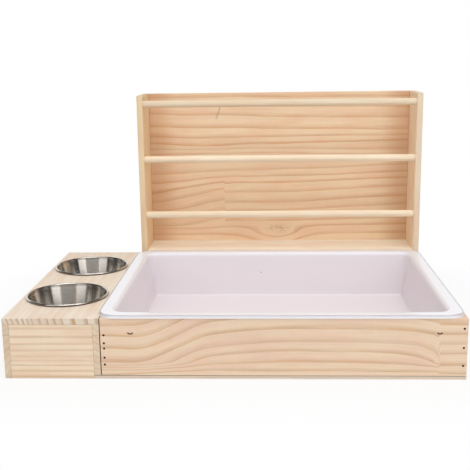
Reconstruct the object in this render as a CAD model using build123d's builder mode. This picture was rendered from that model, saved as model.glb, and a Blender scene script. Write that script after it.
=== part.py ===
from build123d import *
import os
from math import radians, tan

# Hay feeder box: a litter tray in a low board frame, a bowl box at its left and a hay rack behind it.
# Millimetres and degrees. +X is to the right, +Y to the back and +Z up. The origin is on the floor
# under the middle of the whole object.

# ------------------------------------------------------------------------------------------------
# Driving dimensions
# ------------------------------------------------------------------------------------------------

# Litter frame: front and back boards lap over the ends of the side boards, on a thin base panel
frame_width = 490.0
frame_depth = 385.0
frame_height = 85.5
frame_board = 10.0
base_thickness = 5.0

# Bowl box, as tall as the litter frame and a little deeper. The top lies on the sides, which take the
# ends between them, and the bowls' rims lap a little over the sides.
bowl_box_extra_depth = 3.0
bowl_box_board = 9.0
bowl_side_lap = 3.0
joint_gap = 0.8

# Hay rack, as wide as the litter frame. The middle rail stands a little above halfway between the
# other two.
rack_height = 362.0
rack_depth = 91.0
rack_board = 10.0
rail_diameter = 12.0
rail_setback = 8.0
top_rail_drop = 15.0
bottom_rail_rise = 62.5
middle_rail_lift = 1.25
rail_socket_depth = 5.0
rail_clearance = 0.1

# Litter tray: it hangs in the frame by its rim, a little to the left and front, clear of the boards
# beside it and of the base panel under it
tray_left_overhang = 4.5
tray_front_overhang = 1.5
tray_right_setback = 1.5
tray_back_gap = 2.5
tray_side_gap = 3.0
tray_ground_gap = 9.0
tray_rim_thickness = 4.5
tray_rim_corner = 24.0
tray_rim_round = 1.3
tray_wall = 2.5
tray_draft = 12.5
tray_mouth_corner = 18.0
tray_mouth_round = 6.0
tray_floor_corner = 5.0
tray_floor_round = 3.0

# Bowls: sheet steel with a rolled rim that hangs on the board around its hole
bowl_rim_diameter = 120.0
bowl_roll_diameter = 3.2
bowl_roll_overlap = 0.6
bowl_taper = 13.4
bowl_depth = 48.0
bowl_sheet = 0.8
bowl_bottom_round = 14.0
bowl_seat_gap = 0.3
bowl_hole_clearance = 0.3
bowl_hole_round = 0.4
front_bowl_setback = 110.5
bowl_spacing = 172.0
bowl_left_shift = 1.8

# Nails
nail_length = 24.0
nail_diameter = 1.4
nail_head_diameter = 2.2
nail_head_thickness = 0.8
nail_sink = 0.7
nail_point = 0.5
nail_clearance = 0.05
nail_margin = 16.0
base_nail_margin = 40.0

# Where the front board's nails stand: their heights at its left end and at its right end
left_nail_heights = (20.4, 30.1, 43.2, 50.6, 61.9)
right_nail_heights = (19.6, 44.7, 71.3)

# Screws, countersunk
screw_length = 18.0
screw_diameter = 3.5
screw_head_diameter = 7.0
screw_head_angle = 90.0
screw_point_length = 3.0
screw_point_diameter = 1.0
screw_recess_length = 3.6
screw_recess_width = 1.0
screw_recess_depth = 1.2
screw_clearance = 0.05
screw_margin = 60.0
rack_screw_spacing = 40.0

# Eased edges of the boards and of the thin base panel
board_edge = 0.8
panel_edge = 0.4

# ------------------------------------------------------------------------------------------------
# Places worked out from them
# ------------------------------------------------------------------------------------------------

bowl_box_width = bowl_rim_diameter - 2 * bowl_side_lap + 2 * bowl_box_board
bowl_box_depth = frame_depth + bowl_box_extra_depth
overall_width = bowl_box_width + joint_gap + frame_width
overall_depth = tray_front_overhang + frame_depth + rack_depth

bowl_box_left = -overall_width / 2
bowl_box_right = bowl_box_left + bowl_box_width
bowl_box_x = (bowl_box_left + bowl_box_right) / 2
frame_left = bowl_box_right + joint_gap
frame_right = frame_left + frame_width
frame_x = (frame_left + frame_right) / 2

frame_front_y = -overall_depth / 2 + tray_front_overhang
frame_back_y = frame_front_y + frame_depth
frame_y = (frame_front_y + frame_back_y) / 2
bowl_box_back_y = frame_front_y + bowl_box_depth
bowl_box_y = (frame_front_y + bowl_box_back_y) / 2
rack_rear_y = frame_back_y + rack_depth
rack_y = (frame_back_y + rack_rear_y) / 2

rim_top = frame_height + tray_rim_thickness
shelf_underside = rim_top - rack_board

# Centre lines of the boards that fasteners go into
frame_left_board_x = frame_left + frame_board / 2
frame_right_board_x = frame_right - frame_board / 2
frame_front_board_y = frame_front_y + frame_board / 2
frame_back_board_y = frame_back_y - frame_board / 2
bowl_box_left_board_x = bowl_box_left + bowl_box_board / 2
bowl_box_right_board_x = bowl_box_right - bowl_box_board / 2
bowl_box_front_board_y = frame_front_y + bowl_box_board / 2
bowl_box_back_board_y = bowl_box_back_y - bowl_box_board / 2
rack_left_board_x = frame_left + rack_board / 2
rack_right_board_x = frame_right - rack_board / 2
rack_back_board_y = rack_rear_y - rack_board / 2
rack_front_board_y = frame_back_y + rack_board / 2
shelf_middle_z = rim_top - rack_board / 2

# ------------------------------------------------------------------------------------------------
# Fasteners. A place is a plane on the face that the fastener enters, and its normal points outwards.
# ------------------------------------------------------------------------------------------------

to_front, to_back = (0, -1, 0), (0, 1, 0)
to_left, to_right = (-1, 0, 0), (1, 0, 0)
to_floor = (0, 0, -1)


def evenly(first, last, count):
    """Positions from first to last, evenly spaced."""
    return [first + (last - first) * step / (count - 1) for step in range(count)]


front_nail_places = [
    Plane((x, frame_front_y, height), z_dir=to_front)
    for x, heights in (
        (frame_left_board_x, left_nail_heights),
        (frame_right_board_x, right_nail_heights),
    )
    for height in heights
]
back_nail_places = [
    Plane((x, frame_back_y, height), z_dir=to_back)
    for x in (frame_left_board_x, frame_right_board_x)
    for height in right_nail_heights
]
base_nail_places = [
    Plane((x, y, 0), z_dir=to_floor)
    for y in (frame_front_board_y, frame_back_board_y)
    for x in evenly(frame_left + base_nail_margin, frame_right - base_nail_margin, 4)
] + [
    Plane((x, y, 0), z_dir=to_floor)
    for x in (bowl_box_right_board_x, frame_left_board_x, frame_right_board_x)
    for y in evenly(frame_front_y + base_nail_margin, frame_back_y - base_nail_margin, 3)
]
bowl_box_nail_places = [
    Plane((x, y, height), z_dir=outwards)
    for x, outwards in ((bowl_box_left, to_left), (bowl_box_right, to_right))
    for y in (bowl_box_front_board_y, bowl_box_back_board_y)
    for height in evenly(nail_margin, frame_height - bowl_box_board - nail_margin, 3)
]
rack_nail_spots = (
    [(y, shelf_middle_z) for y in evenly(frame_back_y + 2 * nail_margin, rack_rear_y - 2 * nail_margin, 2)]
    + [(rack_front_board_y, z) for z in evenly(nail_margin, shelf_underside - nail_margin, 2)]
    + [(rack_back_board_y, z) for z in evenly(nail_margin, rack_height - nail_margin, 5)]
)
rack_nail_places = [
    Plane((x, y, z), z_dir=outwards)
    for x, outwards in ((frame_left, to_left), (frame_right, to_right))
    for y, z in rack_nail_spots
]
bowl_box_screw_places = [
    Plane((frame_left + frame_board, y, frame_height / 2), z_dir=to_right)
    for y in (frame_front_y + screw_margin, frame_back_y - screw_margin)
]
rack_screw_places = [
    Plane((x, frame_back_y - frame_board, frame_height / 2 + side * rack_screw_spacing / 2), z_dir=to_front)
    for x in (frame_left + screw_margin, frame_right - screw_margin)
    for side in (-1, 1)
]


def nail_holes(places):
    """Cut what the nails driven at these places fill in the board being made."""
    with Locations(*places):
        CounterBoreHole(
            radius=nail_diameter / 2 + nail_clearance,
            counter_bore_radius=nail_head_diameter / 2 + nail_clearance,
            counter_bore_depth=nail_sink + nail_head_thickness + nail_clearance,
            depth=nail_sink + nail_length + nail_clearance,
        )


def screw_holes(places):
    """Cut what the screws driven at these places fill in the board being made."""
    with Locations(*places):
        CounterSinkHole(
            radius=screw_diameter / 2 + screw_clearance,
            counter_sink_radius=screw_head_diameter / 2 + screw_clearance,
            depth=screw_length + screw_clearance,
            counter_sink_angle=screw_head_angle,
        )


def write(piece, name):
    """Label a finished piece with its name and write it to its own file."""
    piece.part.label = name
    export_step(piece.part, f"parts/{name}.step")


os.makedirs("parts", exist_ok=True)

# One nail and one screw, pointing down from a place at the origin. The nail is sunk under the face.
nail_head_underside = -nail_sink - nail_head_thickness
with BuildPart() as nail:
    with BuildSketch(Plane.XY.offset(-nail_sink)):
        Circle(nail_head_diameter / 2)
    extrude(amount=-nail_head_thickness)
    with BuildSketch(Plane.XY.offset(nail_head_underside)):
        Circle(nail_diameter / 2)
    extrude(amount=nail_head_thickness - nail_length)
    chamfer(nail.edges().sort_by(Axis.Z)[0], length=nail_point)

screw_head_height = (screw_head_diameter - screw_diameter) / 2 / tan(radians(screw_head_angle / 2))
with BuildPart() as screw:
    with BuildSketch(Plane.XZ):
        with BuildLine():
            Polyline(
                (0, 0),
                (screw_head_diameter / 2, 0),
                (screw_diameter / 2, -screw_head_height),
                (screw_diameter / 2, screw_point_length - screw_length),
                (screw_point_diameter / 2, -screw_length),
                (0, -screw_length),
                close=True,
            )
        make_face()
    revolve(axis=Axis.Z)
    with BuildSketch():
        Rectangle(screw_recess_length, screw_recess_width)
        Rectangle(screw_recess_width, screw_recess_length)
    extrude(amount=-screw_recess_depth, mode=Mode.SUBTRACT)

nail_groups = {
    "frame_front_nails": front_nail_places,
    "frame_back_nails": back_nail_places,
    "base_nails": base_nail_places,
    "bowl_box_nails": bowl_box_nail_places,
    "rack_nails": rack_nail_places,
}
for group_name, places in nail_groups.items():
    with BuildPart() as nail_group:
        with Locations(*places):
            add(nail.part)
    write(nail_group, group_name)

screw_groups = {"bowl_box_screws": bowl_box_screw_places, "rack_screws": rack_screw_places}
for group_name, places in screw_groups.items():
    with BuildPart() as screw_group:
        with Locations(*places):
            add(screw.part)
    write(screw_group, group_name)

# ------------------------------------------------------------------------------------------------
# Litter frame
# ------------------------------------------------------------------------------------------------

frame_wall_height = frame_height - base_thickness
frame_between_ends = frame_depth - 2 * frame_board

with BuildPart() as frame_front:
    with BuildSketch(Plane((frame_x, frame_front_board_y, base_thickness))):
        Rectangle(frame_width, frame_board)
    extrude(amount=frame_wall_height)
    fillet(frame_front.edges(), radius=board_edge)
    nail_holes(front_nail_places + base_nail_places)
write(frame_front, "frame_front")

with BuildPart() as frame_back:
    with BuildSketch(Plane((frame_x, frame_back_board_y, base_thickness))):
        Rectangle(frame_width, frame_board)
    extrude(amount=frame_wall_height)
    fillet(frame_back.edges(), radius=board_edge)
    nail_holes(back_nail_places + base_nail_places)
    screw_holes(rack_screw_places)
write(frame_back, "frame_back")

for side_name, side_x in (("left", frame_left_board_x), ("right", frame_right_board_x)):
    with BuildPart() as frame_side:
        with BuildSketch(Plane((side_x, frame_y, base_thickness))):
            Rectangle(frame_board, frame_between_ends)
        extrude(amount=frame_wall_height)
        fillet(frame_side.edges(), radius=board_edge)
        nail_holes(front_nail_places + back_nail_places + base_nail_places)
        screw_holes(bowl_box_screw_places)
    write(frame_side, f"frame_{side_name}_side")

# The base panel runs to the left under the whole end of the bowl box's right side board.
base_left = bowl_box_right - bowl_box_board
with BuildPart() as base_panel:
    with BuildSketch(Plane(((base_left + frame_right) / 2, frame_y, 0))):
        Rectangle(frame_right - base_left, frame_depth)
    extrude(amount=base_thickness)
    fillet(base_panel.edges(), radius=panel_edge)
    nail_holes(base_nail_places)
write(base_panel, "base_panel")

# ------------------------------------------------------------------------------------------------
# Bowl box
# ------------------------------------------------------------------------------------------------

bowl_box_side_top = frame_height - bowl_box_board
bowl_x = bowl_box_x - bowl_left_shift
front_bowl_y = frame_front_y + front_bowl_setback
rear_bowl_y = front_bowl_y + bowl_spacing
bowl_roll_circle = bowl_rim_diameter / 2 - bowl_roll_diameter / 2
bowl_mouth_radius = bowl_roll_circle - bowl_roll_diameter / 2 + bowl_roll_overlap
bowl_hole_radius = bowl_mouth_radius + bowl_hole_clearance

with BuildPart() as bowl_box_top:
    with BuildSketch(Plane((bowl_box_x, bowl_box_y, bowl_box_side_top))):
        Rectangle(bowl_box_width, bowl_box_depth)
    extrude(amount=bowl_box_board)
    fillet(bowl_box_top.edges(), radius=board_edge)
    with BuildSketch(Plane.XY.offset(frame_height)):
        with Locations((bowl_x, front_bowl_y), (bowl_x, rear_bowl_y)):
            Circle(bowl_hole_radius)
    extrude(amount=-bowl_box_board, mode=Mode.SUBTRACT)
    upper_hole_edges = bowl_box_top.edges().filter_by(GeomType.CIRCLE).group_by(Axis.Z)[-1]
    fillet(upper_hole_edges, radius=bowl_hole_round)
write(bowl_box_top, "bowl_box_top")

# The left side board stands on the floor and the right one on the base panel.
for side_name, side_x, foot in (
    ("left", bowl_box_left_board_x, 0),
    ("right", bowl_box_right_board_x, base_thickness),
):
    with BuildPart() as bowl_box_side:
        with BuildSketch(Plane((side_x, bowl_box_y, foot))):
            Rectangle(bowl_box_board, bowl_box_depth)
        extrude(amount=bowl_box_side_top - foot)
        fillet(bowl_box_side.edges(), radius=board_edge)
        nail_holes(bowl_box_nail_places + base_nail_places)
        screw_holes(bowl_box_screw_places)
    write(bowl_box_side, f"bowl_box_{side_name}_side")

for end_name, end_y in (("front", bowl_box_front_board_y), ("back", bowl_box_back_board_y)):
    with BuildPart() as bowl_box_end:
        with BuildSketch(Plane((bowl_box_x, end_y, 0))):
            Rectangle(bowl_box_width - 2 * bowl_box_board, bowl_box_board)
        extrude(amount=bowl_box_side_top)
        fillet(bowl_box_end.edges(), radius=board_edge)
        nail_holes(bowl_box_nail_places)
    write(bowl_box_end, f"bowl_box_{end_name}")

# ------------------------------------------------------------------------------------------------
# Bowls
# ------------------------------------------------------------------------------------------------

bowl_bottom_z = frame_height - bowl_depth
bowl_roll_z = frame_height + bowl_seat_gap + bowl_roll_diameter / 2

for bowl_name, bowl_y in (("front_bowl", front_bowl_y), ("rear_bowl", rear_bowl_y)):
    with BuildPart() as bowl:
        with BuildSketch(Plane((bowl_x, bowl_y, bowl_bottom_z))):
            Circle(bowl_mouth_radius - bowl_taper)
        with BuildSketch(Plane((bowl_x, bowl_y, bowl_roll_z))):
            Circle(bowl_mouth_radius)
        loft()
        fillet(bowl.edges().group_by(Axis.Z)[0], radius=bowl_bottom_round)
        offset(amount=-bowl_sheet, openings=bowl.faces().sort_by(Axis.Z)[-1])
        with BuildSketch(Plane((bowl_x, bowl_y, 0), z_dir=to_front, x_dir=to_right)):
            with Locations((bowl_roll_circle, bowl_roll_z)):
                Circle(bowl_roll_diameter / 2)
        revolve(axis=Axis((bowl_x, bowl_y, 0), (0, 0, 1)))
    write(bowl, bowl_name)

# ------------------------------------------------------------------------------------------------
# Litter tray
# ------------------------------------------------------------------------------------------------

tray_left = frame_left - tray_left_overhang
tray_right = frame_right - tray_right_setback
tray_front_y = frame_front_y - tray_front_overhang
tray_back_y = frame_back_y - tray_back_gap
tray_width = tray_right - tray_left
tray_length = tray_back_y - tray_front_y
tray_x = (tray_left + tray_right) / 2
tray_y = (tray_front_y + tray_back_y) / 2
tray_rim_width = tray_left_overhang + frame_board + tray_side_gap + tray_wall
tray_mouth_width = tray_width - 2 * tray_rim_width
tray_mouth_length = tray_length - 2 * tray_rim_width
tray_floor_width = tray_mouth_width - 2 * tray_draft
tray_floor_length = tray_mouth_length - 2 * tray_draft
tray_underside_z = base_thickness + tray_ground_gap
tray_floor_z = tray_underside_z + tray_wall

with BuildPart() as litter_tray:
    # Outside of the tub
    with BuildSketch(Plane((tray_x, tray_y, tray_underside_z))):
        RectangleRounded(
            tray_floor_width + 2 * tray_wall,
            tray_floor_length + 2 * tray_wall,
            tray_floor_corner + tray_wall,
        )
    with BuildSketch(Plane((tray_x, tray_y, rim_top))):
        RectangleRounded(
            tray_mouth_width + 2 * tray_wall,
            tray_mouth_length + 2 * tray_wall,
            tray_mouth_corner + tray_wall,
        )
    loft()
    fillet(litter_tray.edges().group_by(Axis.Z)[0], radius=tray_floor_round + tray_wall)
    # Rim
    with BuildSketch(Plane((tray_x, tray_y, frame_height))):
        RectangleRounded(tray_width, tray_length, tray_rim_corner)
    extrude(amount=tray_rim_thickness)
    # Inside of the tub
    with BuildSketch(Plane((tray_x, tray_y, tray_floor_z))):
        RectangleRounded(tray_floor_width, tray_floor_length, tray_floor_corner)
    with BuildSketch(Plane((tray_x, tray_y, rim_top))):
        RectangleRounded(tray_mouth_width, tray_mouth_length, tray_mouth_corner)
    loft(mode=Mode.SUBTRACT)
    inner_floor = litter_tray.faces().filter_by(Plane.XY).filter_by_position(
        Axis.Z, tray_floor_z - tray_wall / 2, tray_floor_z + tray_wall / 2
    )
    fillet(inner_floor.edges(), radius=tray_floor_round)
    rim_face = litter_tray.faces().sort_by(Axis.Z)[-1]
    fillet(rim_face.inner_wires()[0].edges(), radius=tray_mouth_round)
    rim_face = litter_tray.faces().sort_by(Axis.Z)[-1]
    fillet(rim_face.outer_wire().edges(), radius=tray_rim_round)
write(litter_tray, "litter_tray")

# ------------------------------------------------------------------------------------------------
# Hay rack
# ------------------------------------------------------------------------------------------------

rack_inside_left = frame_left + rack_board
rack_inside_right = frame_right - rack_board
rack_inside_width = rack_inside_right - rack_inside_left
rail_y = frame_back_y + rail_setback
top_rail_height = rack_height - top_rail_drop
bottom_rail_height = rim_top + bottom_rail_rise
middle_rail_height = (top_rail_height + bottom_rail_height) / 2 + middle_rail_lift
rail_heights = (top_rail_height, middle_rail_height, bottom_rail_height)

for side_name, side_x, inner_face_x, inwards in (
    ("left", rack_left_board_x, rack_inside_left, to_right),
    ("right", rack_right_board_x, rack_inside_right, to_left),
):
    with BuildPart() as rack_side:
        with BuildSketch(Plane((side_x, rack_y, 0))):
            Rectangle(rack_board, rack_depth)
        extrude(amount=rack_height)
        fillet(rack_side.edges(), radius=board_edge)
        for rail_height in rail_heights:
            with BuildSketch(Plane((inner_face_x, rail_y, rail_height), z_dir=inwards)):
                Circle(rail_diameter / 2 + rail_clearance)
            extrude(amount=-rail_socket_depth, mode=Mode.SUBTRACT)
        nail_holes(rack_nail_places)
    write(rack_side, f"rack_{side_name}_side")

with BuildPart() as rack_back:
    with BuildSketch(Plane((frame_x, rack_back_board_y, 0))):
        Rectangle(rack_inside_width, rack_board)
    extrude(amount=rack_height)
    fillet(rack_back.edges(), radius=board_edge)
    nail_holes(rack_nail_places)
write(rack_back, "rack_back")

shelf_depth = rack_depth - rack_board
with BuildPart() as rack_shelf:
    with BuildSketch(Plane((frame_x, frame_back_y + shelf_depth / 2, shelf_underside))):
        Rectangle(rack_inside_width, shelf_depth)
    extrude(amount=rack_board)
    fillet(rack_shelf.edges(), radius=board_edge)
    nail_holes(rack_nail_places)
write(rack_shelf, "rack_shelf")

with BuildPart() as rack_lower_front:
    with BuildSketch(Plane((frame_x, rack_front_board_y, 0))):
        Rectangle(rack_inside_width, rack_board)
    extrude(amount=shelf_underside)
    fillet(rack_lower_front.edges(), radius=board_edge)
    nail_holes(rack_nail_places)
    screw_holes(rack_screw_places)
write(rack_lower_front, "rack_lower_front")

rail_length = rack_inside_width + 2 * (rail_socket_depth - rail_clearance)
for rail_name, rail_height in zip(("top_rail", "middle_rail", "bottom_rail"), rail_heights):
    with BuildPart() as rail:
        with BuildSketch(Plane((frame_x - rail_length / 2, rail_y, rail_height), z_dir=to_right)):
            Circle(rail_diameter / 2)
        extrude(amount=rail_length)
    write(rail, rail_name)
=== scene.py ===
import math
from dataclasses import dataclass
from functools import partialmethod, reduce

import bpy
import numpy as np
from bpy.props import FloatProperty, FloatVectorProperty, PointerProperty
from mathutils import Matrix, Vector


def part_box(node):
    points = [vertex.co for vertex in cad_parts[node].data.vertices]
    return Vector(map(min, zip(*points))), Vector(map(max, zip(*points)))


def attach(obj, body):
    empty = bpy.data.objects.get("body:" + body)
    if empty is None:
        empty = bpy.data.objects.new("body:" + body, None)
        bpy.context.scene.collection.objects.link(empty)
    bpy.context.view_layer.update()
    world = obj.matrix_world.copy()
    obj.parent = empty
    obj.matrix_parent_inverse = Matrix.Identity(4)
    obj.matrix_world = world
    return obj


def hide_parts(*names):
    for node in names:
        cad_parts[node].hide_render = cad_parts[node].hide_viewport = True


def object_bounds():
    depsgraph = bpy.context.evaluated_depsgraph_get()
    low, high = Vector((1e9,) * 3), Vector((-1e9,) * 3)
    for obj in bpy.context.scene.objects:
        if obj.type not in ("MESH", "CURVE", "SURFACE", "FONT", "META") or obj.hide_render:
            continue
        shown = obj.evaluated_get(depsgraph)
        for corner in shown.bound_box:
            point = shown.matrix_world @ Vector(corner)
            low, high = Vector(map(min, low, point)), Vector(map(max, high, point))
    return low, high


# Hay feeder box. The boards, rails, nails and screws are the packed construction's own pieces and get
# their wood and metal here. The bowls and the litter tray are made here as smooth surfaces.
# Metres, +X to the right, +Y to the back and +Z up. Shader patterns work in millimetres.

bl_info = {
    "name": "Hay feeder box",
    "version": (1, 0, 0),
    "blender": (4, 5, 0),
    "location": "3D View > Sidebar > Feeder",
    "description": "Pine boards, steel bowls, moulded tray and studio for a hay feeder box",
    "category": "Object",
}

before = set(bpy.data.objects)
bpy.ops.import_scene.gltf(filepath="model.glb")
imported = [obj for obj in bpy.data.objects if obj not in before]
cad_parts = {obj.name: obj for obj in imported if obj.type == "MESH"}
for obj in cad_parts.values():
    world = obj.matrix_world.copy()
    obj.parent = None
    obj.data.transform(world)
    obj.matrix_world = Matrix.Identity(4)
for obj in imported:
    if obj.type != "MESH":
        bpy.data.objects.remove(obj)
CAD_BOX = [list(corner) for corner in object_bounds()]

MM = 0.001
ROUND_MAP = "round"


# ---- Settings ----


def linear(red, green, blue):
    """A display colour, 0 to 255 a channel, as the linear colour that shaders work in."""
    shares = np.array((red, green, blue)) / 255
    return np.where(shares <= 0.04045, shares / 12.92, ((shares + 0.055) / 1.055) ** 2.4).tolist()


def colour(name, description, red, green, blue):
    """A colour setting whose default is given as a display colour."""
    return FloatVectorProperty(
        name=name, description=description, subtype="COLOR", min=0.0, max=1.0,
        default=linear(red, green, blue),
    )


def length(name, description, millimetres):
    """A length setting whose default is given in millimetres."""
    return FloatProperty(
        name=name, description=description, subtype="DISTANCE", unit="LENGTH", min=0.0,
        default=millimetres * MM,
    )


def share(name, description, default):
    """A setting from 0 to 1."""
    return FloatProperty(
        name=name, description=description, subtype="FACTOR", min=0.0, max=1.0, default=default,
    )


def turn(name, description, degrees):
    """An angle setting whose default is given in degrees."""
    return FloatProperty(name=name, description=description, subtype="ANGLE", default=math.radians(degrees))


def power(name, description, watts):
    """The power of a lamp."""
    return FloatProperty(name=name, description=description, subtype="POWER", min=0.0, default=watts)


class FeederBowlBoxWood(bpy.types.PropertyGroup):
    """Pine of the bowl box"""

    pale: colour("Pale wood", "Wood that grew in spring", 236, 216, 190)
    warm: colour("Warm wood", "Patches of warmer wood", 232, 205, 177)
    late: colour("Late wood", "Dark edge of each growth ring", 205, 172, 138)
    resin: colour("Resinous wood", "Dark edge where it holds more resin", 208, 166, 120)


class FeederFrameWood(bpy.types.PropertyGroup):
    """Pine of the litter frame"""

    pale: colour("Pale wood", "Wood that grew in spring", 232, 208, 180)
    warm: colour("Warm wood", "Patches of warmer wood", 229, 198, 174)
    late: colour("Late wood", "Dark edge of each growth ring", 198, 160, 124)
    resin: colour("Resinous wood", "Dark edge where it holds more resin", 209, 161, 112)


class FeederRackWood(bpy.types.PropertyGroup):
    """Pine of the hay rack"""

    # The rack's pine is set lighter than the frame's: partly its own warmer wood, partly painted light
    # against the shade between the rack's sides.
    pale: colour("Pale wood", "Wood that grew in spring", 240, 213, 179)
    warm: colour("Warm wood", "Patches of warmer wood", 238, 203, 170)
    late: colour("Late wood", "Dark edge of each growth ring", 206, 158, 114)
    resin: colour("Resinous wood", "Dark edge where it holds more resin", 216, 154, 98)


class FeederRailWood(bpy.types.PropertyGroup):
    """Pale wood of the rails"""

    pale: colour("Pale wood", "Wood that grew in spring", 243, 226, 199)
    warm: colour("Warm wood", "Patches of warmer wood", 240, 218, 188)
    late: colour("Late wood", "Dark edge of each growth ring", 224, 194, 158)
    resin: colour("Resinous wood", "Dark edge where it holds more resin", 220, 190, 152)


class FeederBasePanel(bpy.types.PropertyGroup):
    """Plywood of the base panel"""

    face: colour("Face", "Outer plies", 228, 211, 193)
    core: colour("Core", "Middle ply, seen at the edges", 219, 200, 180)


class FeederBowls(bpy.types.PropertyGroup):
    """Spun steel bowls"""

    steel: colour("Steel", "Reflected colour of the steel", 213, 207, 199)
    sheet: length("Sheet", "Thickness of the sheet", 0.8)
    roll: length("Rolled rim", "Diameter of the rolled rim", 3.2)
    bottom_round: length("Bottom round", "Outer radius between wall and bottom", 14.0)
    base: length("Base", "Diameter of the bowl at its base, before the round", 88.0)
    roughness: share("Roughness", "Roughness of the brushed steel", 0.23)


class FeederTray(bpy.types.PropertyGroup):
    """Moulded litter tray"""

    plastic: colour("Plastic", "White of the rim", 234, 232, 236)
    # The inside's white is darker and pinker than the rim's: painted shade and warm bounce light of the tub.
    inside: colour("Inside", "White of the tub's inside", 231, 223, 227)
    rim_width: length("Rim width", "Flat rim, from its edge to the mouth", 20.0)
    rim_thickness: length("Rim thickness", "Thickness of the rim", 4.5)
    rim_corner: length("Rim corner", "Corner radius of the rim's edge", 24.0)
    mouth_corner: length("Mouth corner", "Corner radius of the mouth", 18.0)
    floor_corner: length("Floor corner", "Corner radius of the floor", 5.0)
    wall: length("Wall", "Thickness of the walls and the floor", 2.5)
    draft: length("Draft", "How far a wall leans in from the mouth to the floor", 12.5)
    mouth_round: length("Mouth round", "Radius between rim and wall", 6.0)
    floor_round: length("Floor round", "Radius between wall and floor", 3.0)
    rim_round: length("Rim round", "Radius of the rim's upper edge", 1.3)


class FeederStage(bpy.types.PropertyGroup):
    """Floor, lamps and camera"""

    floor: colour("Floor", "Colour of the floor round the object", 233, 233, 233)
    fill_side: share("Side fill", "Strength of the even light from the sides", 0.0)
    fill_top: share("Top fill", "Strength of the even light from above", 0.8)
    wall: share("Wall", "Grey of the wall that gloss shows between the softboxes", 0.27)
    room: share("Room", "Grey of the rest of the room that gloss shows", 0.03)
    key_power: power("Key power", "Power of each of the two softboxes", 7.6)
    top_power: power("Top power", "Power of the overhead softbox", 24.0)
    lens: FloatProperty(
        name="Lens", description="Focal length on a 36 mm sensor", subtype="DISTANCE_CAMERA", default=64.138
    )
    yaw: turn("Yaw", "Turn of the camera to the left", 2.521)
    pitch: turn("Pitch", "How far the camera looks down", 12.046)
    roll: turn("Roll", "Turn of the camera about its view", -0.774)
    camera: FloatVectorProperty(
        name="Camera", description="Place of the camera", subtype="TRANSLATION", unit="LENGTH",
        default=(52.01 * MM, -1301.44 * MM, 426.32 * MM),
    )


# ---- Shader arithmetic ----


def plug(tree, socket, value):
    """Feed a socket from a wire, or set it to a number or a colour."""
    if isinstance(value, Wire):
        tree.links.new(value.socket, socket)
    elif isinstance(value, (tuple, list)) and socket.type == "RGBA" and len(value) == 3:
        socket.default_value = (*value, 1.0)
    else:
        socket.default_value = value


class Wire:
    """What flows out of a shader node. Sums, products and so on of wires add the nodes that work them out."""

    def __init__(self, tree, socket):
        self.tree = tree
        self.socket = socket

    def maths(self, operation, *others, first=None):
        """A sum or the like of this wire and the others, or of a first number and this wire."""
        node = self.tree.nodes.new("ShaderNodeMath")
        node.operation = operation
        values = (self, *others) if first is None else (first, self)
        for socket, value in zip(node.inputs, values):
            plug(self.tree, socket, value)
        return Wire(self.tree, node.outputs[0])

    def __rsub__(self, other):
        return self.maths("SUBTRACT", first=other)

    __add__ = __radd__ = partialmethod(maths, "ADD")
    __sub__ = partialmethod(maths, "SUBTRACT")
    __mul__ = __rmul__ = partialmethod(maths, "MULTIPLY")
    __truediv__ = partialmethod(maths, "DIVIDE")
    __pow__ = partialmethod(maths, "POWER")
    __abs__ = partialmethod(maths, "ABSOLUTE")
    root = partialmethod(maths, "SQRT")
    exp = partialmethod(maths, "EXPONENT")
    floor = partialmethod(maths, "FLOOR")
    fraction = partialmethod(maths, "FRACT")
    least = partialmethod(maths, "MINIMUM")
    most = partialmethod(maths, "MAXIMUM")

    def rise(self, start, end):
        """0 up to start and 1 from end on, with a smooth rise between them."""
        node = self.tree.nodes.new("ShaderNodeMapRange")
        node.interpolation_type = "SMOOTHSTEP"
        for socket, value in zip(node.inputs, (self, start, end, 0.0, 1.0)):
            plug(self.tree, socket, value)
        return Wire(self.tree, node.outputs[0])

    def spread(self, low, high):
        """0 to 1 stretched to low to high."""
        return self * (high - low) + low


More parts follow.
